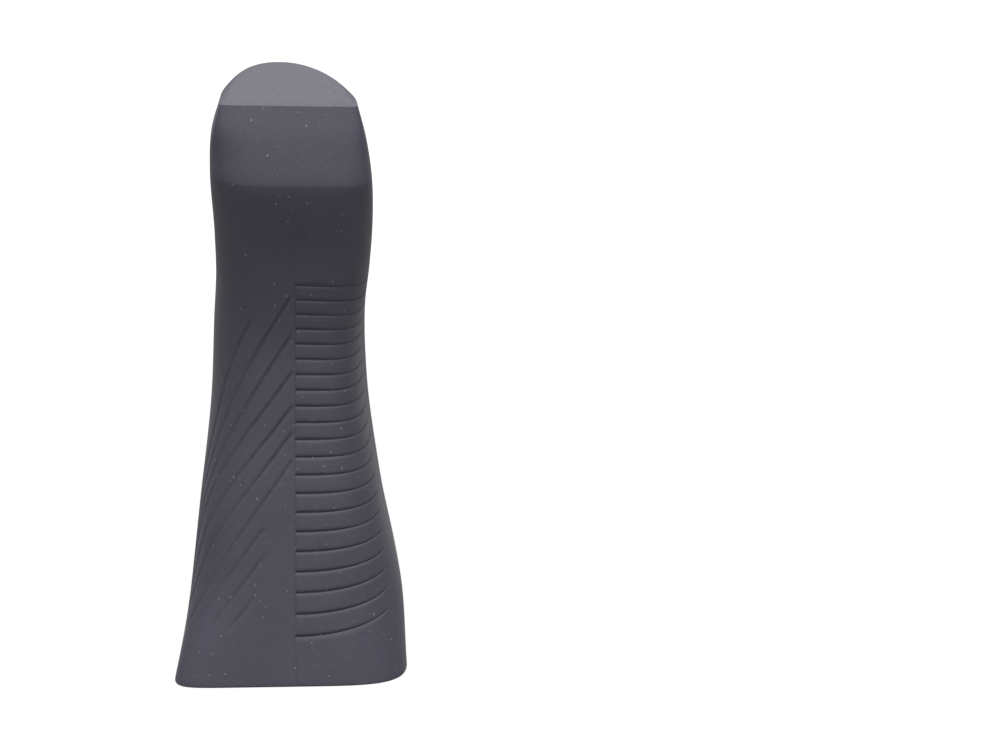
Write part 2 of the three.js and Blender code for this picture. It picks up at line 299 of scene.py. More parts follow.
rows = [evenly(RIM_ROUND, band_heights[-1] + BAND_ROWS[0], PLAIN_STEP)]
for below, above in zip(band_heights[:0:-1], band_heights[-2::-1]):
    rows.append(below + BAND_ROWS[:-1])
    rows.append(evenly(below + BAND_ROWS[-1], above + BAND_ROWS[0], FILL_STEP))
rows.append(BAND_TOP + BAND_ROWS[:-1])
rows.append(evenly(BAND_TOP + BAND_ROWS[-1], CREASE - CREASE_BAND, PLAIN_STEP))
rows.append(evenly(CREASE - CREASE_BAND, CREASE + CREASE_BAND, CREASE_STEP))
rows.append(evenly(CREASE + CREASE_BAND, BLOCK_HIGH, PLAIN_STEP))
rows.append(RIDGE - RIDGE_ROWS)
wall_heights = np.concatenate(rows)
block_rows = nearest(wall_heights, (BLOCK_LOW, BLOCK_HIGH))
block_columns = nearest(column_angles, BLOCK_SIDES)
print(len(wall_heights), "rows up the outer wall")

# %% Depth of the grooves
GROOVE_HALF = 0.34
GROOVE_DEPTH = 0.42
GROOVE_POWER = 1.4
BAND_CROWN = 0.07
SLANT_HALF = np.array([0.36, 0.46])
SLANT_DEPTH = np.array([0.34, 0.44])
SLANT_BROAD = (28.0, 46.0)
MOULD_HALF = 0.16
MOULD_DEPTH = 0.1
MOULD_TOP = (BAND_TOP + 6, BAND_TOP + 14)
END_FADE = 2.0
SIDE_SHARE = 0.45
SIDE_PLACES = (2.0, 13.0)


def band_rise(angle, height):
    """How far the rows of the low bands turn up and those of the high bands turn
    down: the square of the share of the band that lies behind. Past the end of
    the band the rows come back."""
    low = np.clip((BAND_LOW_FROM - height) / (BAND_LOW_FROM - BAND_FLOOR), 0, None)
    low = low * smooth_step(height, RIM_ROUND, BAND_FLOOR)
    high = np.clip((height - BAND_LOW_FROM) / (BAND_TOP - BAND_LOW_FROM), 0, 1)
    high = high * (1 - smooth_step(height, BAND_TOP, CREASE - CREASE_BAND))
    along = np.clip((angle - GRIP_MIDDLE) / (band_end(height) - GRIP_MIDDLE), 0, 1)
    back = 1 - smooth_step(angle, band_end(height), BLOCK_SIDES[0])
    return (BAND_LOW_RISE * low - BAND_HIGH_DROP * high) * along**2 * back


def band_relief(place, angle, height):
    """Depth of the bands: a rounded V at each band, a slight crown between two,
    and nothing left of the mould line or past the end of each band."""
    gap = np.abs(height[..., None] - band_heights).min(axis=-1)
    groove = np.clip(1 - gap / GROOVE_HALF, 0, 1) ** GROOVE_POWER
    inside = (height < BAND_TOP) & (height > band_heights[-1])
    crown = np.where(inside, np.clip(gap / (BAND_PITCH / 2), 0, 1), 0)
    crown = crown * (2 - crown)
    left_to_run = (round_at(band_end(height)) - place) / END_FADE
    run = smooth_step(left_to_run, 0, 1) * smooth_step(place, 0, MOULD_COLUMNS[1])
    run = np.where(angle < BLOCK_SIDES[0], run, 0)
    shallow = 1 - (1 - SIDE_SHARE) * smooth_step(place, *SIDE_PLACES)
    return run * shallow * (BAND_CROWN * crown - GROOVE_DEPTH * groove)


def slant_relief(angle, height, x):
    """Depth of the slants: a soft trough across the distance to each slant's line.
    The higher ones are deeper and wider."""
    turn = 2 * math.pi - angle
    broad = smooth_step(height, *SLANT_BROAD)
    half = SLANT_HALF[0] + (SLANT_HALF[1] - SLANT_HALF[0]) * broad
    depth = SLANT_DEPTH[0] + (SLANT_DEPTH[1] - SLANT_DEPTH[0]) * broad
    total = np.zeros_like(height)
    for levels, start, slope in zip(slant_levels.T, SLANT_STARTS, SLANT_SLOPES):
        level = np.interp(turn, turns, levels)
        gap = np.abs(height - level) * np.cos(slant_slope(turn, slope))
        trough = 0.5 + 0.5 * np.cos(np.pi * np.clip(gap / half, 0, 1))
        run = smooth_step(-x, start, start + SLANT_FADE) * smooth_step(level, *SLANT_FLOOR)
        total = np.maximum(total, trough * np.where(turn < turns[-1], run, 0))
    return -depth * total


def mould_relief(place, height):
    """Depth of the mould line: a thin V down the middle of the grip, below the horn."""
    gap = np.minimum(place, girth - place)
    run = 1 - smooth_step(height, *MOULD_TOP)
    return -MOULD_DEPTH * np.clip(1 - gap / MOULD_HALF, 0, 1) * run


print("the bands are cut", GROOVE_DEPTH, "mm deep and the slants up to", SLANT_DEPTH.max(), "mm")

# %% [markdown]
# The outer wall is a grid of rings. It starts inside the base rim, turns round
# the rim, climbs the wall and closes over the top facet in one point. The top
# facet is nearly flat. Its rise past the rim follows a parabola, low at the
# ridge and high at the nose. At the nose the parabola starts as steep as the
# wall ends, so the nose is round, and at the ridge the edge is crisp.

# %% Outer rings
RIDGE_RISE = 0.3
NOSE_RISE = 2.7
NOSE_POWER = 1.2
NOSE_ROUND = 0.2
FACET_OUTS = np.array([0.998, 0.99, 0.978, 0.96, 0.94, 0.915, 0.89, 0.86, 0.83, 0.8, 0.7, 0.55, 0.4, 0.2])


def facet(angle, out):
    """Points over the top: the rim, shrunk to a share of itself, and lifted."""
    middle = (skin(GRIP_MIDDLE, RIDGE) + skin(LEVER_MIDDLE, RIDGE)) / 2
    points = middle + out[..., None] * (skin(angle, RIDGE) - middle)
    near_rim = np.clip((out - 1 + NOSE_ROUND) / NOSE_ROUND, 0, 1)
    grip, lever = SECTION["grip_y"][-1], SECTION["lever_y"][-1]
    to_nose = np.clip((points[..., 1] - grip) / (lever - grip), 0, 1) ** NOSE_POWER
    points[..., 2] += (1 - near_rim**2) * (RIDGE_RISE + (NOSE_RISE - RIDGE_RISE) * to_nose)
    return points


quarter = np.linspace(0, math.pi / 2, RIM_STEPS + 1)
rim_insets = np.concatenate([
    WALL - RIM_ROUND * (1 - np.cos(quarter)),
    RIM_ROUND * (1 - np.cos(quarter[::-1])),
])[:-1]
rim_heights = np.concatenate([
    RIM_ROUND * (1 - np.sin(quarter)),
    RIM_ROUND * (1 - np.sin(quarter[::-1])),
])[:-1]
rim_points = skin(column_angles, rim_heights[:, None], rim_insets[:, None])
angle_grid, row_grid = np.meshgrid(column_angles, wall_heights)
height_grid = row_grid + band_rise(angle_grid, row_grid)
place_grid = np.broadcast_to(column_places, angle_grid.shape)
wall_points = skin(angle_grid, height_grid)
relief = (
    band_relief(place_grid, angle_grid, row_grid)
    + slant_relief(angle_grid, height_grid, wall_points[..., 0])
    + mould_relief(place_grid, height_grid)
)
wall_points = wall_points + relief[..., None] * outward(angle_grid, height_grid)
facet_outs = np.broadcast_to(FACET_OUTS[:, None], (len(FACET_OUTS), len(column_angles)))
facet_points = facet(column_angles, facet_outs)
outer_points = np.concatenate([rim_points, wall_points, facet_points])
outer_pole = facet(np.array([0.0]), np.array([0.0]))
print(outer_points.shape[0], "outer rings")

# %% [markdown]
# The cavity is a plain grid of rings, one wall inside the skin. Nobody sees
# much of it, so its rings are further apart.

# %% Inner rings
CAVITY_TOP = RIDGE - HORN_WALL
INNER_START = 1.4
INNER_LOW = 26.0
INNER_HIGH = 100.3
INNER_ROW_STEP = 2.4
INNER_COLUMN_STEP = 1.3
INNER_SIDES = np.radians([14.0, 166.0])
INNER_CAP = np.array([0.8, 0.5])

inner_stops = [0, *(round_at(side) for side in INNER_SIDES), girth]
inner_places = np.concatenate([
    evenly(start, end, INNER_COLUMN_STEP) for start, end in zip(inner_stops, inner_stops[1:])
])
inner_angles = np.interp(inner_places, fine_lengths, fine_angles)
inner_heights = np.concatenate([
    evenly(INNER_START, INNER_LOW, INNER_ROW_STEP),
    evenly(INNER_LOW, INNER_HIGH, INNER_ROW_STEP),
    [INNER_HIGH, CAVITY_TOP],
])
inner_points = skin(inner_angles, inner_heights[:, None], WALL)
inner_middle = (skin(GRIP_MIDDLE, CAVITY_TOP, WALL) + skin(LEVER_MIDDLE, CAVITY_TOP, WALL)) / 2
inner_cap = inner_middle + INNER_CAP[:, None, None] * (inner_points[-1] - inner_middle)
inner_points = np.concatenate([inner_points, inner_cap])
inner_block_rows = nearest(inner_heights, (INNER_LOW, INNER_HIGH))
inner_block_columns = nearest(inner_angles, INNER_SIDES)
print(inner_points.shape[0], "inner rings of", len(inner_angles))

# %% [markdown]
# The lever opening doesn't follow the rings, so a block of the grid is left out
# round it and filled by loops. They start at the block's edge, close in on the
# outline, cross the raised lip, turn through the thickness of the wall and open
# out again inside. A Boolean cut would be shorter to write, but it leaves
# slivers along the edge, and the lip could have no round shoulder.

# %% Outline of the lever opening
OPENING_OUTLINE = np.array([
    (-23.7, 92.2), (-20, 94.6), (-4.7, 95.2), (9.8, 94.6), (14, 92.2), (17.7, 85.6),
    (22.3, 75.3), (25.6, 62.1), (27, 50.8), (23.7, 43.3), (15.1, 37.6), (3.5, 35.7),
    (-9.3, 37.1), (-22.1, 41.4), (-27.9, 48.9), (-28.6, 62.1), (-27, 77.1),
]) * (WIDTH / 100, HEIGHT / 100)
OUTLINE_STEPS = 24
# The first guess takes the skin for a cylinder of this radius. Its points stand
# higher than on the grip edge, by a rise that grows between two heights.
GUESS_RADIUS = 16.0
GUESS_RISE = 4.0
GUESS_RISE_SPAN = (60, 95)
NEWTON_STEPS = 40
TURN_LIMIT = 0.1
CLIMB_LIMIT = 4
SIDE_MARGIN = 0.15
LOWEST = 1


def closed_curve(corners, steps):
    """A closed centripetal curve through corners: between two, the point is
    blended from the four nearest, with spans that are the roots of the distances."""
    p0, p1, p2, p3 = (np.roll(corners, shift, axis=0)[:, None, :] for shift in (1, 0, -1, -2))
    pairs = ((p0, p1), (p1, p2), (p2, p3))
    spans = [np.sqrt(np.linalg.norm(b - a, axis=-1, keepdims=True)) for a, b in pairs]
    t = np.linspace(0, 1, steps, endpoint=False)[None, :, None]
    tangent1 = ((p1 - p0) / spans[0] - (p2 - p0) / (spans[0] + spans[1]) + (p2 - p1) / spans[1]) * spans[1]
    tangent2 = ((p2 - p1) / spans[1] - (p3 - p1) / (spans[1] + spans[2]) + (p3 - p2) / spans[2]) * spans[1]
    return cubic(t, p1, tangent1, p2, tangent2).reshape(-1, 2)


def on_skin(x, z):
    """Angle and height on the lever side of points given by x and z, by Newton's
    steps: the skin's slopes say how far to turn and climb for what is missing."""
    angle = LEVER_MIDDLE - x / GUESS_RADIUS
    height = z - GUESS_RISE * smooth_step(z, *GUESS_RISE_SPAN)
    for _ in range(NEWTON_STEPS):
        point = skin(angle, height)
        by_angle, by_height = slopes_of(angle, height)
        miss = np.stack([x - point[..., 0], z - point[..., 2]], axis=-1)
        slopes = np.stack([by_angle[..., [0, 2]], by_height[..., [0, 2]]], axis=-1)
        move = np.linalg.solve(slopes, miss[..., None])[..., 0]
        angle = angle + np.clip(move[..., 0], -TURN_LIMIT, TURN_LIMIT)
        angle = np.clip(angle, SIDE_MARGIN, math.pi - SIDE_MARGIN)
        height = height + np.clip(move[..., 1], -CLIMB_LIMIT, CLIMB_LIMIT)
        height = np.clip(height, LOWEST, RIDGE)
    print("the outline lies on the skin to", float(np.abs(miss).max()), "mm")
    return angle, height


outline_xz = closed_curve(OPENING_OUTLINE, OUTLINE_STEPS)
outline_angle, outline_height = on_skin(outline_xz[:, 0], outline_xz[:, 1])

# %% Loops round the opening
LOOP_POINTS = 280
SIDE_SHARES = np.array([0.17, 0.35, 0.13, 0.35])
EDGE_MARGIN_UP = 0.5
EDGE_MARGIN_TURN = 0.02

block_low, block_high = wall_heights[block_rows]
block_start, block_end = column_angles[block_columns]


def rectangle(turn, low, high, start, end):
    """Angle and height round a rectangle: turn goes from 0 to 4, one for each side."""
    corners_angle = [start, end, end, start, start]
    corners_height = [low, low, high, high, low]
    return np.interp(turn, range(5), corners_angle), np.interp(turn, range(5), corners_height)


# Loop points are shared out over the four sides, by the sides' lengths.
side_counts = np.round(SIDE_SHARES * LOOP_POINTS).astype(int)
loop_turns = np.concatenate([side + np.arange(n) / n for side, n in enumerate(side_counts)])
edge_angle, edge_height = rectangle(
    loop_turns, block_low + EDGE_MARGIN_UP, block_high - EDGE_MARGIN_UP,
    block_start + EDGE_MARGIN_TURN, block_end - EDGE_MARGIN_TURN,
)

centre_angle = (outline_angle.max() + outline_angle.min()) / 2
centre_height = (outline_height.max() + outline_height.min()) / 2
scale_angle = np.ptp(outline_angle) / 2
scale_height = np.ptp(outline_height) / 2


def bearing(angle, height):
    """Direction and distance from the opening's middle, with both axes scaled to its size."""
    across = (angle - centre_angle) / scale_angle
    up = (height - centre_height) / scale_height
    return np.arctan2(up, across), np.hypot(across, up)


outline_bearing, outline_far = bearing(outline_angle, outline_height)
order = np.argsort(outline_bearing)
loop_bearing = bearing(edge_angle, edge_height)[0]
loop_far = np.interp(loop_bearing, outline_bearing[order], outline_far[order], period=2 * math.pi)
loop_angle = centre_angle + scale_angle * loop_far * np.cos(loop_bearing)
loop_height = centre_height + scale_height * loop_far * np.sin(loop_bearing)


def march(angle, height, distance):
    """A loop moved away from the opening along the skin. The way out is the cross
    product of the loop's own direction and the skin's, turned back into angle and height."""
    points = skin(angle, height)
    way = unit(np.roll(points, -1, axis=0) - np.roll(points, 1, axis=0))
    by_angle, by_height = slopes_of(angle, height)
    away = np.cross(way, unit(np.cross(by_angle, by_height)))
    both = np.stack([by_angle, by_height], axis=-1)
    square = np.swapaxes(both, -1, -2) @ both
    move = np.linalg.solve(square, np.swapaxes(both, -1, -2) @ away[..., None])[..., 0]
    return angle + move[:, 0] * distance, height + move[:, 1] * distance


print(len(loop_angle), "points in each loop")

# %% Lip and edge of the opening
LIP_WIDTH = 2.6
LIP_LOW_EXTRA = 0.8
LIP_RAISE = 0.6
# The lip grows wider low down, between these two values of minus the bearing's sine.
LIP_LOW_SPAN = (0.2, 0.8)
LIP_ROWS = np.array([0, 0.06, 0.14, 0.26, 0.42, 0.6, 0.76, 0.86, 0.93, 1.0, 1.08])
LIP_HEIGHTS = np.array([0.72, 0.9, 0.97, 1, 1, 0.98, 0.93, 0.8, 0.5, 0.16, 0])
FAN_LOOPS = 12
EDGE_INSETS = np.array([-0.25, 0.05, 0.4, 0.9, 1.5, 2.0, WALL])
EDGE_BACK = np.array([0.03, 0.06, 0.1, 0.2, 0.4, 0.7, 1.2])
INSIDE_LOOPS = 8
INSIDE_MARGIN_LOW = 0.8
INSIDE_MARGIN_HIGH = 0.5
INSIDE_MARGIN_TURN = 0.03

lip_width = LIP_WIDTH + LIP_LOW_EXTRA * smooth_step(-np.sin(loop_bearing), *LIP_LOW_SPAN)
lip_loops = [(loop_angle, loop_height)]
for before, after in zip(LIP_ROWS[:-1], LIP_ROWS[1:]):
    lip_loops.append(march(*lip_loops[-1], (after - before) * lip_width))
lip_angles = np.array([loop[0] for loop in lip_loops])
lip_heights = np.array([loop[1] for loop in lip_loops])

fan = np.linspace(1, 0, FAN_LOOPS)[:, None]
fan_angles = lip_angles[-1] + (edge_angle - lip_angles[-1]) * fan
fan_heights = lip_heights[-1] + (edge_height - lip_heights[-1]) * fan
tube_angles = np.concatenate([fan_angles[:-1], lip_angles[::-1]])
tube_heights = np.concatenate([fan_heights[:-1], lip_heights[::-1]])
lip_relief = np.concatenate([np.zeros(FAN_LOOPS - 1), LIP_HEIGHTS[::-1]]) * LIP_RAISE
outside_points = skin(tube_angles, tube_heights)
outside_points = outside_points + lip_relief[:, None, None] * outward(tube_angles, tube_heights)

edge_points = []
for inset, back in zip(EDGE_INSETS, EDGE_BACK):
    edge_points.append(skin(*march(loop_angle, loop_height, back), inset))
inner_edge = march(loop_angle, loop_height, EDGE_BACK[-1])
far_edge = rectangle(
    loop_turns, INNER_LOW + INSIDE_MARGIN_LOW, INNER_HIGH - INSIDE_MARGIN_HIGH,
    INNER_SIDES[0] + INSIDE_MARGIN_TURN, INNER_SIDES[1] - INSIDE_MARGIN_TURN,
)
for share in np.linspace(0, 1, INSIDE_LOOPS + 1)[1:]:
    edge_points.append(skin(
        inner_edge[0] + (far_edge[0] - inner_edge[0]) * share,
        inner_edge[1] + (far_edge[1] - inner_edge[1]) * share, WALL,
    ))
tube_points = np.concatenate([outside_points, np.array(edge_points)])
print(tube_points.shape[0], "loops of", tube_points.shape[1], "points round the opening")

# %% [markdown]
# The parts of the mesh meet in loops with different numbers of points. They are
# joined like the two sides of a zip: going round both loops together, whichever
# edge ends first takes a triangle with the point that the other side has reached.

# %% Faces
def grid_faces(first, shape, inside_out=False, hole=None):
    """Quads between the rings of a grid of vertices that are numbered from first.
    hole gives the rows and columns of a block with no faces."""
    row, column = np.meshgrid(np.arange(shape[0] - 1), np.arange(shape[1]), indexing="ij")
    if hole is not None:
        (low, high), (start, end) = hole
        keep = ~((row >= low) & (row < high) & (column >= start) & (column < end))
        row, column = row[keep], column[keep]
    here = first + row * shape[1] + column
    beside = first + row * shape[1] + (column + 1) % shape[1]
    quads = np.stack([here, beside, beside + shape[1], here + shape[1]], axis=-1).reshape(-1, 4)
    return quads[:, ::-1] if inside_out else quads


def cap_faces(ring, pole, inside_out=False):
    """Triangles from a ring to one point."""
    faces = np.stack([ring, np.roll(ring, -1), np.full_like(ring, pole)], axis=-1)
    return faces[:, ::-1] if inside_out else faces


def zip_faces(a, a_turns, b, b_turns, whole):
    """Triangles between two loops. The turns say how far round each point lies."""
    ends = np.concatenate([np.append(a_turns[1:], whole), np.append(b_turns[1:], whole)])
    on_a = np.concatenate([np.ones(len(a), bool), np.zeros(len(b), bool)])[np.argsort(ends, kind="stable")]
    a_done = np.cumsum(on_a)
    b_done = np.cumsum(~on_a)
    a_now, b_now = a[a_done % len(a)], b[b_done % len(b)]
    from_a = np.stack([a[a_done - 1], a_now, b_now], axis=-1)
    from_b = np.stack([b_now, b[b_done - 1], a_now], axis=-1)
    return np.where(on_a[:, None], from_a, from_b)


def block_loop(first, columns, rows_range, columns_range, angles, heights):
    """Vertex numbers round a block of a grid, and how far round each lies, from 0 to 4."""
    (low, high), (start, end) = rows_range, columns_range
    up = np.arange(low, high)
    over = np.arange(start, end)
    rising = (heights[up] - heights[low]) / (heights[high] - heights[low])
    crossing = (angles[over] - angles[start]) / (angles[end] - angles[start])
    row = np.concatenate([np.full_like(over, low), up, np.full_like(over, high), up[::-1] + 1])
    column = np.concatenate([over, np.full_like(up, end), over[::-1] + 1, np.full_like(up, start)])
    back_over = (angles[end] - angles[over[::-1] + 1]) / (angles[end] - angles[start])
    back_down = (heights[high] - heights[up[::-1] + 1]) / (heights[high] - heights[low])
    turn = np.concatenate([crossing, 1 + rising, 2 + back_over, 3 + back_down])
    return first + row * columns + column, turn


rim_count = len(rim_heights)
outer_first = 0
inner_first = outer_points.shape[0] * outer_points.shape[1]
tube_first = inner_first + inner_points.shape[0] * inner_points.shape[1]
poles_first = tube_first + tube_points.shape[0] * tube_points.shape[1]
outer_hole = ([rim_count + r for r in block_rows], block_columns)
inner_hole = (inner_block_rows, inner_block_columns)
outer_ring = np.arange(len(column_angles))
inner_ring = np.arange(len(inner_angles))
tube_ring = np.arange(tube_points.shape[1])
padded_heights = np.concatenate([rim_heights, wall_heights])

outer_loop, outer_turns = block_loop(
    outer_first, len(column_angles), *outer_hole, column_angles, padded_heights
)
inner_loop, inner_turns = block_loop(
    inner_first, len(inner_angles), *inner_hole, inner_angles, inner_heights
)
last_tube = tube_first + (tube_points.shape[0] - 1) * tube_points.shape[1] + tube_ring
quads = np.concatenate([
    grid_faces(outer_first, outer_points.shape[:2], hole=outer_hole),
    grid_faces(inner_first, inner_points.shape[:2], inside_out=True, hole=inner_hole),
    grid_faces(tube_first, tube_points.shape[:2]),
])
triangles = np.concatenate([
    zip_faces(outer_loop, outer_turns, tube_first + tube_ring, loop_turns, 4),
    zip_faces(last_tube, loop_turns, inner_loop, inner_turns, 4),
    zip_faces(inner_first + inner_ring, inner_places, outer_first + outer_ring, column_places, girth),
    cap_faces(inner_first - len(column_angles) + outer_ring, poles_first),
    cap_faces(tube_first - len(inner_angles) + inner_ring, poles_first + 1, inside_out=True),
])
hood_points = np.concatenate([
    outer_points.reshape(-1, 3), inner_points.reshape(-1, 3), tube_points.reshape(-1, 3),
    outer_pole, inner_middle[None, :],
])
print(len(quads), "quads and", len(triangles), "triangles")


# %% Mesh of the sleeve
def check_closed(quads, triangles):
    """Counts the edges that don't have exactly two faces, one each way."""
    edges = np.concatenate([
        np.stack([quads, np.roll(quads, -1, axis=1)], axis=-1).reshape(-1, 2),
        np.stack([triangles, np.roll(triangles, -1, axis=1)], axis=-1).reshape(-1, 2),
    ])
    size = int(edges.max()) + 1
    forward = np.sort(edges[:, 0] * size + edges[:, 1])
    backward = np.sort(edges[:, 1] * size + edges[:, 0])
    return int((forward != backward).sum())


def make_mesh(name, points, quads, triangles):
    """A mesh object from points in metres, with the points that no face uses left out."""
    used, numbers = np.unique(np.concatenate([quads.ravel(), triangles.ravel()]), return_inverse=True)
    mesh = bpy.data.meshes.new(name)
    mesh.vertices.add(len(used))
    mesh.vertices.foreach_set("co", points[used].astype(np.float32).ravel())
    sizes = np.concatenate([np.full(len(quads), 4), np.full(len(triangles), 3)])
    mesh.loops.add(len(numbers))
    mesh.loops.foreach_set("vertex_index", numbers.astype(np.int32).ravel())
    mesh.polygons.add(len(sizes))
    mesh.polygons.foreach_set("loop_start", np.append(0, np.cumsum(sizes)[:-1]).astype(np.int32))
    mesh.polygons.foreach_set("use_smooth", np.ones(len(sizes), bool))
    mesh.update(calc_edges=True)
    mesh.validate()
    made = bpy.data.objects.new(name, mesh)
    bpy.context.scene.collection.objects.link(made)
    return made


# The solid's frame has its origin under the middle of its box, so the sleeve is
# moved by the difference between the two middles, and its base goes to the base
# of the solid.
solid_low, solid_high = (np.array(corner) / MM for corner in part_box("rubber_hood"))
own_middle = (hood_points.min(axis=0) + hood_points.max(axis=0)) / 2
shift = (solid_low + solid_high) / 2 - own_middle
shift[2] = solid_low[2]
print("moved by", shift.round(3), "mm; open edges:", check_closed(quads, triangles))
sleeve = make_mesh("hood_rubber_sleeve", (hood_points + shift) * MM, quads, triangles)
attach(sleeve, "root")
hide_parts("rubber_hood")
print("the sleeve has", 2 * len(quads) + len(triangles), "triangles")

# %% [markdown]
# Shader maths reads best as plain expressions. This small class wraps a socket,
# so that an expression such as 1 - mask adds the Math node that works it out.

# %% Shader helpers
class Value:
    """A number that varies over a surface: one socket of a material."""

    def __init__(self, finish, socket):
        self.finish = finish
        self.socket = socket

    def math(self, operation, *others):
        sockets = dict(enumerate((self, *others)))
        return self.finish.number("ShaderNodeMath", {"operation": operation}, sockets)

    def __add__(self, other):
        return self.math("ADD", other)

    def __mul__(self, other):
        return self.math("MULTIPLY", other)

    def __truediv__(self, other):
        return self.math("DIVIDE", other)

    def __rsub__(self, other):
        return self.finish.number("ShaderNodeMath", {"operation": "SUBTRACT"}, {0: other, 1: self})

    def __gt__(self, other):
        return self.math("GREATER_THAN", other)

    def between(self, start, end):
        """0 where this is at start, 1 where it is at end, and a smooth step between them."""
        settings = {"interpolation_type": "SMOOTHSTEP"}
        sockets = {"Value": self, "From Min": start, "From Max": end}
        return self.finish.number("ShaderNodeMapRange", settings, sockets)


class Finish:
    """A material that is being made."""

    def __init__(self, name, tree=None):
        self.material = None if tree else bpy.data.materials.new(name)
        if self.material:
            self.material.use_nodes = True
        self.tree = tree or self.material.node_tree
        self.tree.nodes.clear()

    def add(self, kind, settings, sockets):
        """Any node: its kind, then its settings, then the values or links of its sockets."""
        node = self.tree.nodes.new(kind)
        for name, value in settings.items():
            setattr(node, name, value)
        for name, value in sockets.items():
            if isinstance(value, Value):
                self.tree.links.new(value.socket, node.inputs[name])
            elif isinstance(value, bpy.types.NodeSocket):
                self.tree.links.new(value, node.inputs[name])
            else:
                node.inputs[name].default_value = value
        return node

    def number(self, kind, settings, sockets, output=0):
        """A node whose result is used as a number."""
        return Value(self, self.add(kind, settings, sockets).outputs[output])

    def noise(self, place, scale, detail):
        """Noise at a place. A higher scale makes it finer."""
        return self.number("ShaderNodeTexNoise", {}, {"Vector": place, "Scale": scale, "Detail": detail})

    def mix(self, share, first, second):
        """A colour between two."""
        node = self.add("ShaderNodeMix", {"data_type": "RGBA"}, {"Factor": share, 6: first, 7: second})
        return node.outputs[2]


print("shader helpers are ready")

# %% [markdown]
# The rubber is a dark bluish grey, matte but not dead: it lightens at grazing
# angles. Its colour is slightly uneven from the mould, and light dust lies on
# it in specks. A single grey would look like card, so a broad noise and a fine
# one move the colour. The fine one moves the roughness too, and with a third,
# finer still, it dents the surface.

# %% Rubber
RUBBER = (0.0735, 0.0715, 0.097, 1)
RUBBER_PALE = (0.1, 0.098, 0.126, 1)
RUBBER_DARK = (0.061, 0.06, 0.083, 1)
DUST = (0.33, 0.34, 0.37, 1)
CLOUD_SCALE = 90.0
CLOUD_SPAN = (0.25, 0.75)
CLOUD_SHARE = 0.5
MOTTLE_SCALE = 1300.0
MOTTLE_SPAN = (0.5, 0.8)
MOTTLE_SHARE = 0.5
GRAIN_SCALE = 4200.0
GRAIN_SHARE = 0.6
GRAIN_DEPTH = 0.00007
GRAIN_STRENGTH = 0.7
# A speck lies in each cell whose random number is above the first of these. It
# has a size of its own, from the smallest one up, and fades out at its edge.
SPECK_FROM = 0.1
SPECK_SCALE = 520.0
SPECK_SMALLEST = 0.055
SPECK_SPREAD = 0.045
SPECK_EDGE = (0.6, 1.2)
DUST_SHARE = 0.6
ROUGHNESS = 0.54
ROUGHNESS_SPREAD = 0.12
SPECULAR = 0.4
SHEEN = 0.08
SHEEN_ROUGHNESS = 0.5


def make_rubber():
    """Moulded rubber with an uneven colour, a fine grain and specks of dust."""
    finish = Finish("hood_rubber")
    place = finish.add("ShaderNodeTexCoord", {}, {}).outputs["Object"]
    cloud = finish.noise(place, CLOUD_SCALE, detail=2.0)
    mottle = finish.noise(place, MOTTLE_SCALE, detail=2.0)
    grain = finish.noise(place, GRAIN_SCALE, detail=1.0)
    specks = finish.add("ShaderNodeTexVoronoi", {}, {"Vector": place, "Scale": SPECK_SCALE})
    parts = finish.add("ShaderNodeSeparateColor", {}, {"Color": specks.outputs["Color"]})
    chosen = Value(finish, parts.outputs[0]) > SPECK_FROM
    size = Value(finish, parts.outputs[1]) * SPECK_SPREAD + SPECK_SMALLEST
    dust = chosen * (1 - (Value(finish, specks.outputs["Distance"]) / size).between(*SPECK_EDGE))
    light_share = cloud.between(*CLOUD_SPAN) * CLOUD_SHARE + (1 - CLOUD_SHARE)
    colour = finish.mix(light_share, RUBBER_DARK, RUBBER)
    colour = finish.mix(mottle.between(*MOTTLE_SPAN) * MOTTLE_SHARE, colour, RUBBER_PALE)
    colour = finish.mix(dust * DUST_SHARE, colour, DUST)
    bump = finish.add("ShaderNodeBump", {}, {
        "Height": grain * GRAIN_SHARE + mottle * (1 - GRAIN_SHARE),
        "Distance": GRAIN_DEPTH,
        "Strength": GRAIN_STRENGTH,
    })
    shader = finish.add("ShaderNodeBsdfPrincipled", {}, {
        "Base Color": colour,
        "Roughness": mottle * ROUGHNESS_SPREAD + ROUGHNESS,
        "Normal": bump.outputs[0],
        "Specular IOR Level": SPECULAR,
        "Sheen Weight": SHEEN,
        "Sheen Roughness": SHEEN_ROUGHNESS,
    })
    finish.add("ShaderNodeOutputMaterial", {}, {"Surface": shader.outputs[0]})
    return finish.material


rubber = make_rubber()
sleeve.data.materials.append(rubber)
print("made", rubber.name)

# %% [markdown]
# The studio is a white floor with a white world behind it. For the camera the
# floor glows, so it looks white, and near the sleeve a share of it is matte and
# takes a soft shadow. The world hardly lights the sleeve. The key lamp hangs
# high in front of it, as the light in the photograph comes mostly from above.
# A second lamp hangs behind the sleeve, and a weak one stands by the camera.

# %% Floor and world
FLOOR_HALF = 3.0
FLOOR_GREY = (0.34, 0.34, 0.35, 1)
FLOOR_GLOW = 1.14
NEAR_SHARE = 0.83
NEAR_REACH = (0.1, 0.4)
CAMERA_WHITE = 1.0
MIRRORED_WHITE = 0.4
WORLD_LIGHT = 0.03


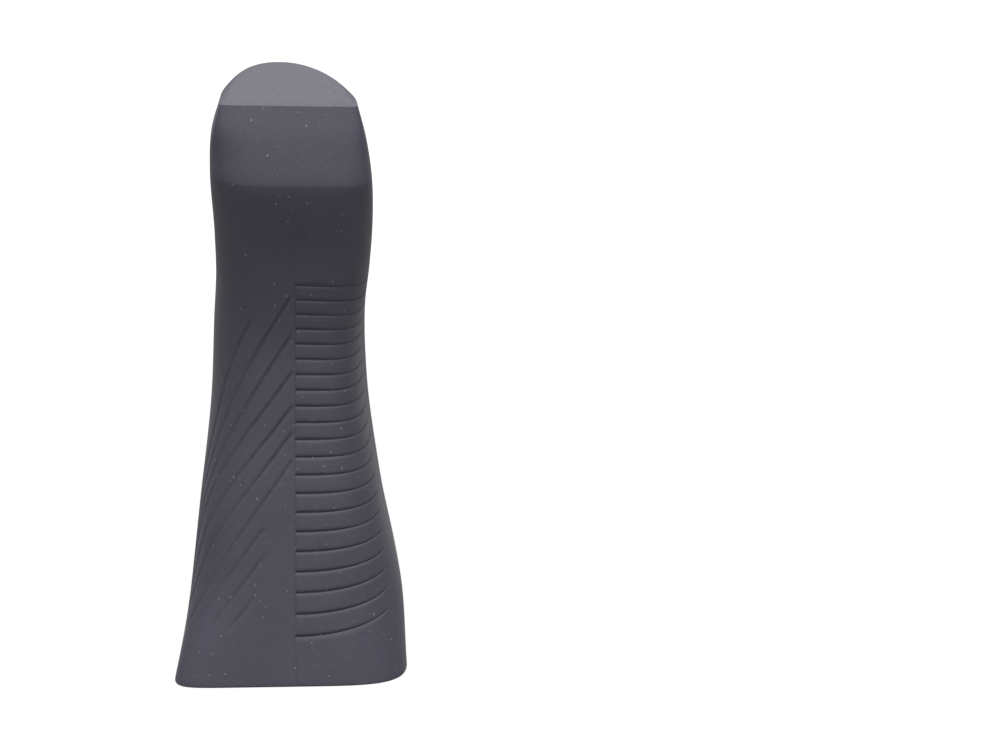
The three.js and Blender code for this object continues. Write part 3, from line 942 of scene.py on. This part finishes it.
def make_floor():
    """A wide square floor at the height of the base rim. For the camera it glows
    white, and near the sleeve it keeps a share of grey that takes the shadow."""
    corners = FLOOR_HALF * np.array([(-1, -1, 0), (1, -1, 0), (1, 1, 0), (-1, 1, 0)], float)
    floor = make_mesh("studio_floor", corners, np.array([[0, 1, 2, 3]]), np.empty((0, 3), int))
    finish = Finish("studio_white")
    path = finish.add("ShaderNodeLightPath", {}, {})
    place = finish.add("ShaderNodeTexCoord", {}, {}).outputs["Object"]
    far = finish.number("ShaderNodeVectorMath", {"operation": "LENGTH"}, {0: place}, output=1)
    share = far.between(*NEAR_REACH) * (1 - NEAR_SHARE) + NEAR_SHARE
    matte = finish.add("ShaderNodeBsdfDiffuse", {}, {"Color": FLOOR_GREY})
    glow = finish.add("ShaderNodeEmission", {}, {"Color": (1, 1, 1, 1), "Strength": FLOOR_GLOW})
    blend = finish.add("ShaderNodeMixShader", {}, {
        0: Value(finish, path.outputs["Is Camera Ray"]) * share, 1: matte.outputs[0], 2: glow.outputs[0],
    })
    finish.add("ShaderNodeOutputMaterial", {}, {"Surface": blend.outputs[0]})
    floor.data.materials.append(finish.material)


def make_world():
    """White for the camera, less so in reflections, and nearly dark for the rest."""
    world = bpy.data.worlds.new("studio_world")
    world.use_nodes = True
    bpy.context.scene.world = world
    finish = Finish("studio_world", world.node_tree)
    path = finish.add("ShaderNodeLightPath", {}, {})
    to_camera = Value(finish, path.outputs["Is Camera Ray"]) * (CAMERA_WHITE - WORLD_LIGHT)
    mirrored = Value(finish, path.outputs["Is Glossy Ray"]) * (MIRRORED_WHITE - WORLD_LIGHT)
    strength = to_camera + mirrored + WORLD_LIGHT
    glow = finish.add("ShaderNodeBackground", {}, {"Color": (1, 1, 1, 1), "Strength": strength})
    finish.add("ShaderNodeOutputWorld", {}, {"Surface": glow.outputs[0]})


make_floor()
make_world()
print("made the floor and the world")


# %% Lamps
LAMP_TARGET = (0.0, 0.0, 0.06)
LAMP_OVER = (0.0, 1.0, 0.2)


def placed(axes, place):
    """The matrix of an object at a place, whose own axes are the columns of axes."""
    return Matrix([(*row, offset) for row, offset in zip(axes, place)] + [(0, 0, 0, 1)])


def make_lamp(name, place, size, power):
    """A square area lamp that faces the target."""
    data = bpy.data.lights.new(name, "AREA")
    data.size = size
    data.energy = power
    lamp = bpy.data.objects.new(name, data)
    back = unit(np.array(place) - np.array(LAMP_TARGET))
    side = unit(np.cross(LAMP_OVER, back))
    over = np.cross(back, side)
    lamp.matrix_world = placed(np.stack([side, over, back]).T, place)
    bpy.context.scene.collection.objects.link(lamp)


make_lamp("lamp_key", (0.0, -0.37, 1.0), size=0.5, power=10.8)
make_lamp("lamp_behind", (0.0, 0.6, 0.85), size=0.7, power=4.5)
make_lamp("lamp_camera", (0.0, -1.0, 0.32), size=0.7, power=1.4)
print("made the lamps")

# %% [markdown]
# The camera stands where the photographer stood: a third of a metre away, a
# little above the horn and looking down. The lens and the turns come from
# matching the outline, the ridge and the base edge in the photograph.

# %% Camera
CAMERA_PLACE = (0.00055, -0.35869, 0.153)
CAMERA_LENS = 72.3
CAMERA_SENSOR = 36.0
CAMERA_DOWN = math.radians(15.62)
CAMERA_ASIDE = math.radians(6.04)
CAMERA_ROLL = math.radians(1.62)


def make_camera():
    """A camera that looks down and aside from +Y, and leans over by its roll."""
    data = bpy.data.cameras.new("camera")
    data.sensor_width = CAMERA_SENSOR
    data.lens = CAMERA_LENS
    camera = bpy.data.objects.new("camera", data)
    forward = np.array([
        math.sin(CAMERA_ASIDE) * math.cos(CAMERA_DOWN),
        math.cos(CAMERA_ASIDE) * math.cos(CAMERA_DOWN), -math.sin(CAMERA_DOWN),
    ])
    level = np.array([math.cos(CAMERA_ASIDE), -math.sin(CAMERA_ASIDE), 0])
    upright = np.cross(level, forward)
    right = level * math.cos(CAMERA_ROLL) + upright * math.sin(CAMERA_ROLL)
    up = upright * math.cos(CAMERA_ROLL) - level * math.sin(CAMERA_ROLL)
    camera.matrix_world = placed(np.stack([right, up, -forward]).T, CAMERA_PLACE)
    bpy.context.scene.collection.objects.link(camera)
    bpy.context.scene.camera = camera


make_camera()
bpy.context.scene.view_settings.view_transform = "Standard"
print("made the camera")
